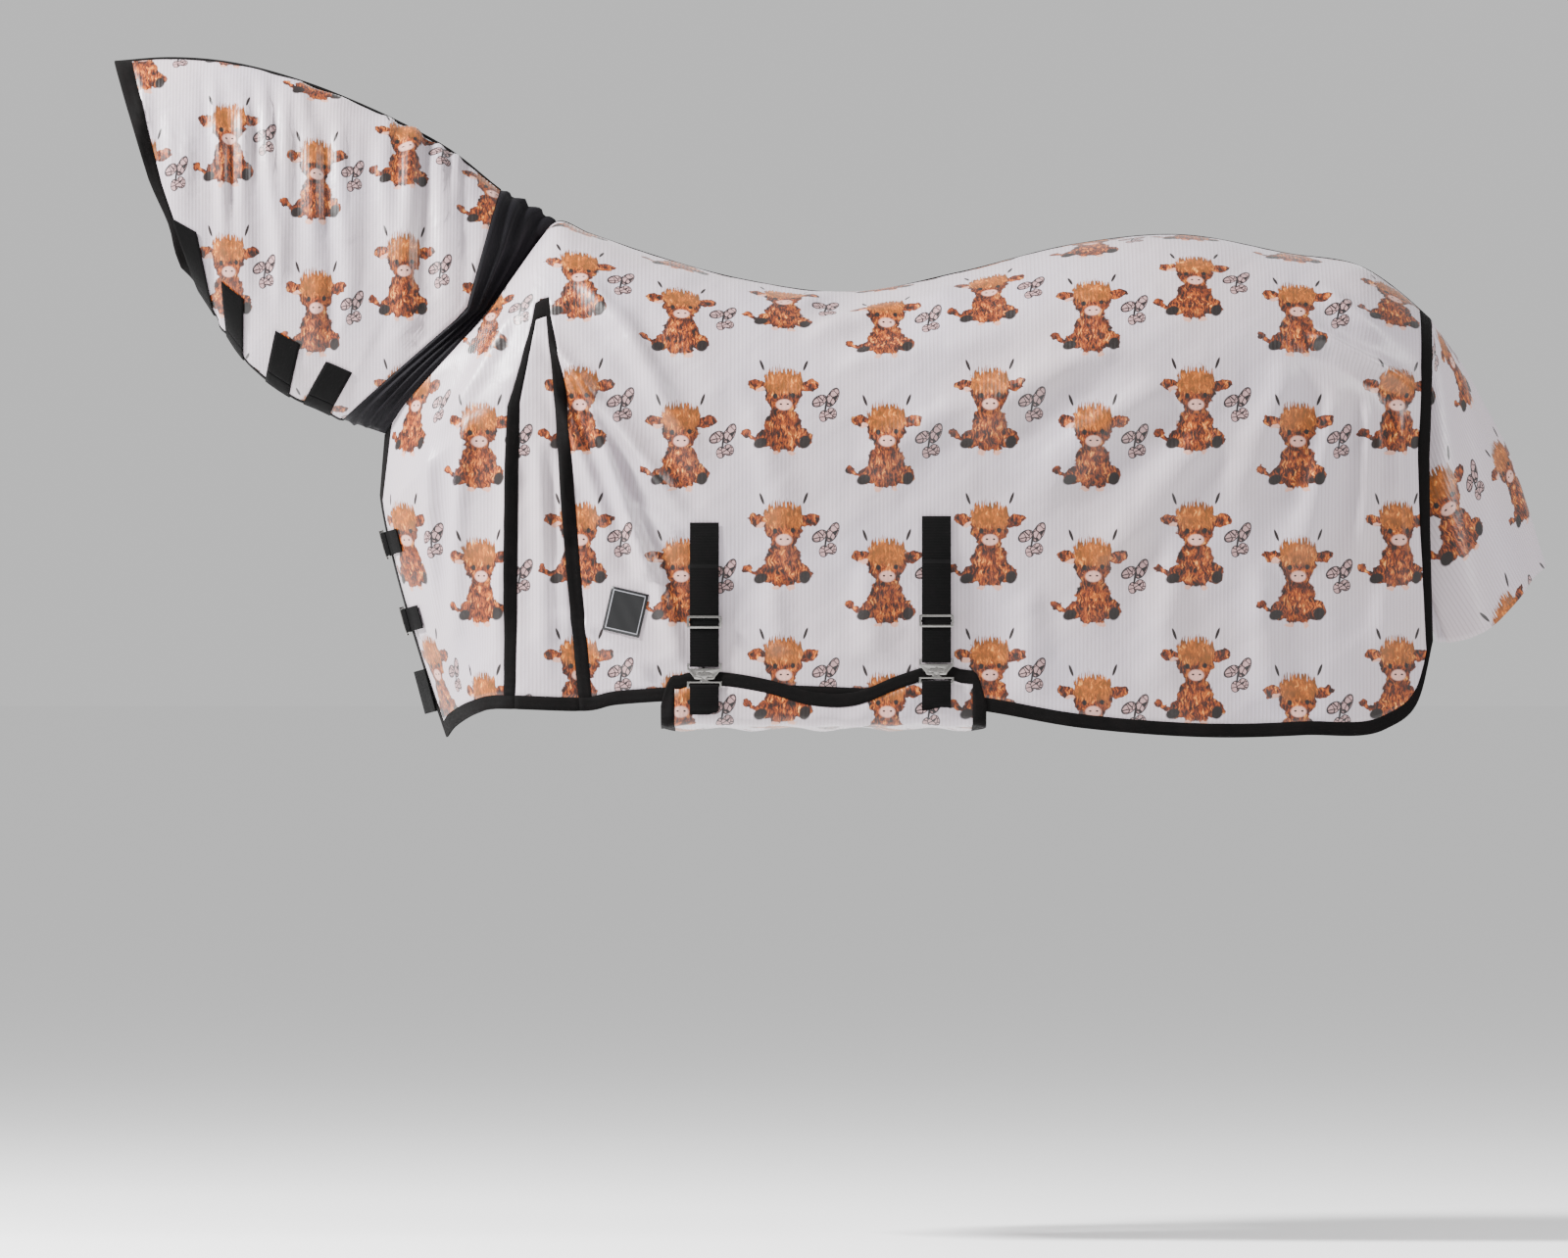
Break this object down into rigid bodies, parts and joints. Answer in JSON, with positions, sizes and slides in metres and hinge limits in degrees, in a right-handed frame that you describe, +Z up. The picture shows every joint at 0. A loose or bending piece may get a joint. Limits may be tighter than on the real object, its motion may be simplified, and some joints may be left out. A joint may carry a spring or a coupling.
{
  "type": "fly sheet",
  "caption": "Fly sheet combo for a horse: printed mesh rug with neck cover, stretch shoulder insert, gussets, tail flap, belly flap and hooked surcingle and chest straps.",
  "frame": {"origin": "inner face of the rug on the horse's back at the withers", "axes": "+X towards the tail, +Y to the horse's right, +Z up; the left side is at -Y"},
  "size_m": [2.2766, 0.5959, 1.0863],
  "materials": {
    "printed_mesh": "fine open polyester mesh, satin face, pale pink-white ground with an all-over brown print",
    "black_binding": "woven polyester tape, matte",
    "black_stretch": "knitted stretch cloth, soft sheen",
    "black_webbing": "ribbed webbing, matte",
    "steel": "nickel-plated steel, bright",
    "label_cloth": "woven label, satin"
  },
  "bodies": {
    "rug": {"body_panel_left": "printed_mesh", "body_panel_right": "printed_mesh", "shoulder_gusset_left": "printed_mesh", "shoulder_gusset_right": "printed_mesh", "hem_binding_left": "black_binding", "hem_binding_right": "black_binding", "chest_binding_left": "black_binding", "chest_binding_right": "black_binding", "gusset_binding_left": "black_binding", "gusset_binding_right": "black_binding", "gusset_hem_left": "black_binding", "gusset_hem_right": "black_binding", "spine_binding": "black_binding", "belly_flap_anchor": "black_binding", "stretch_panel": "black_stretch", "surcingle_strap_front": "black_webbing", "surcingle_strap_rear": "black_webbing", "chest_tab_upper": "black_webbing", "chest_tab_lower": "black_webbing", "chest_pad": "black_webbing", "slot_plate_front": "steel", "slot_plate_rear": "steel", "chest_plate_upper": "steel", "chest_plate_lower": "steel", "label_patch": "label_cloth"},
    "neck_cover": {"neck_panel_left": "printed_mesh", "neck_panel_right": "printed_mesh", "neck_binding_left": "black_binding", "neck_binding_right": "black_binding", "crest_binding": "black_binding", "neck_strap_patch_1": "black_webbing", "neck_strap_patch_2": "black_webbing", "neck_strap_patch_3": "black_webbing", "neck_strap_patch_4": "black_webbing"},
    "throat_strap_1": {"neck_strap_1": "black_webbing"},
    "throat_strap_2": {"neck_strap_2": "black_webbing"},
    "throat_strap_3": {"neck_strap_3": "black_webbing"},
    "throat_strap_4": {"neck_strap_4": "black_webbing"},
    "tail_cover": {"tail_flap": "printed_mesh"},
    "belly_band": {"belly_flap": "printed_mesh", "belly_flap_binding": "black_binding", "belly_tab_front": "black_webbing", "belly_tab_rear": "black_webbing"},
    "belly_hook_front": {"t_hook_front": "steel"},
    "surcingle_adjuster_front": {"surcingle_slide_front": "steel"},
    "belly_hook_rear": {"t_hook_rear": "steel"},
    "surcingle_adjuster_rear": {"surcingle_slide_rear": "steel"},
    "chest_band_upper": {"chest_strap_upper": "black_webbing"},
    "chest_latch_upper": {"chest_hook_upper": "steel"},
    "chest_adjuster_upper": {"chest_slide_upper": "steel"},
    "chest_band_lower": {"chest_strap_lower": "black_webbing"},
    "chest_latch_lower": {"chest_hook_lower": "steel"},
    "chest_adjuster_lower": {"chest_slide_lower": "steel"}
  },
  "joints": [
    {"name": "neck_nod", "type": "hinge", "parent": "rug", "child": "neck_cover", "pos_m": [-0.09, 0, 0.035], "axis": [0, 1, 0], "range_deg": [-6, 10], "deforming": ["stretch_panel"]},
    {"name": "throat_strap_1_open", "type": "hinge", "parent": "neck_cover", "child": "throat_strap_1", "pos_m": [-0.61726, -0.04982, -0.09883], "axis": [-0.5867, 0.0399, 0.8088], "range_deg": [0, 75]},
    {"name": "throat_strap_2_open", "type": "hinge", "parent": "neck_cover", "child": "throat_strap_2", "pos_m": [-0.56814, -0.05377, -0.16837], "axis": [-0.6168, 0.0476, 0.7857], "range_deg": [0, 75]},
    {"name": "throat_strap_3_open", "type": "hinge", "parent": "neck_cover", "child": "throat_strap_3", "pos_m": [-0.49603, -0.0588, -0.23186], "axis": [-0.8361, 0.0456, 0.5467], "range_deg": [0, 75]},
    {"name": "throat_strap_4_open", "type": "hinge", "parent": "neck_cover", "child": "throat_strap_4", "pos_m": [-0.42633, -0.0631, -0.26612], "axis": [-0.9108, 0.0681, 0.4073], "range_deg": [0, 75]},
    {"name": "tail_flap_lift", "type": "hinge", "parent": "rug", "child": "tail_cover", "pos_m": [1.3449, 0, -0.1345], "axis": [0, -1, 0], "range_deg": [0, 60]},
    {"name": "belly_flap_drop", "type": "hinge", "parent": "rug", "child": "belly_band", "pos_m": [0.116, 0.29378, -0.746], "axis": [1, 0, 0], "range_deg": [0, 70]},
    {"name": "belly_hook_front_flip", "type": "hinge", "parent": "belly_band", "child": "belly_hook_front", "pos_m": [0.184, -0.28955, -0.723], "axis": [1, 0, 0], "range_deg": [0, 100]},
    {"name": "surcingle_front_adjust", "type": "slide", "parent": "rug", "child": "surcingle_adjuster_front", "axis": [0, 0, 1], "range_m": [-0.025, 0.055]},
    {"name": "belly_hook_rear_flip", "type": "hinge", "parent": "belly_band", "child": "belly_hook_rear", "pos_m": [0.551, -0.29795, -0.716], "axis": [1, 0, 0], "range_deg": [0, 100]},
    {"name": "surcingle_rear_adjust", "type": "slide", "parent": "rug", "child": "surcingle_adjuster_rear", "axis": [0, 0, 1], "range_m": [-0.025, 0.055]},
    {"name": "chest_strap_upper_open", "type": "hinge", "parent": "rug", "child": "chest_band_upper", "pos_m": [-0.29282, 0.118, -0.48675], "axis": [0.2588, 0, -0.9659], "range_deg": [0, 80]},
    {"name": "chest_hook_upper_flip", "type": "hinge", "parent": "chest_band_upper", "child": "chest_latch_upper", "pos_m": [-0.3266, -0.012, -0.4958], "axis": [0.2588, 0, -0.9659], "range_deg": [0, 100]},
    {"name": "chest_upper_adjust", "type": "slide", "parent": "chest_band_upper", "child": "chest_adjuster_upper", "axis": [0, 1, 0], "range_m": [-0.004, 0.01]},
    {"name": "chest_strap_lower_open", "type": "hinge", "parent": "rug", "child": "chest_band_lower", "pos_m": [-0.26058, 0.118, -0.60874], "axis": [0.2588, 0, -0.9659], "range_deg": [0, 80]},
    {"name": "chest_hook_lower_flip", "type": "hinge", "parent": "chest_band_lower", "child": "chest_latch_lower", "pos_m": [-0.29421, -0.012, -0.61775], "axis": [0.2588, 0, -0.9659], "range_deg": [0, 100]},
    {"name": "chest_lower_adjust", "type": "slide", "parent": "chest_band_lower", "child": "chest_adjuster_lower", "axis": [0, 1, 0], "range_m": [-0.004, 0.01]}
  ]
}
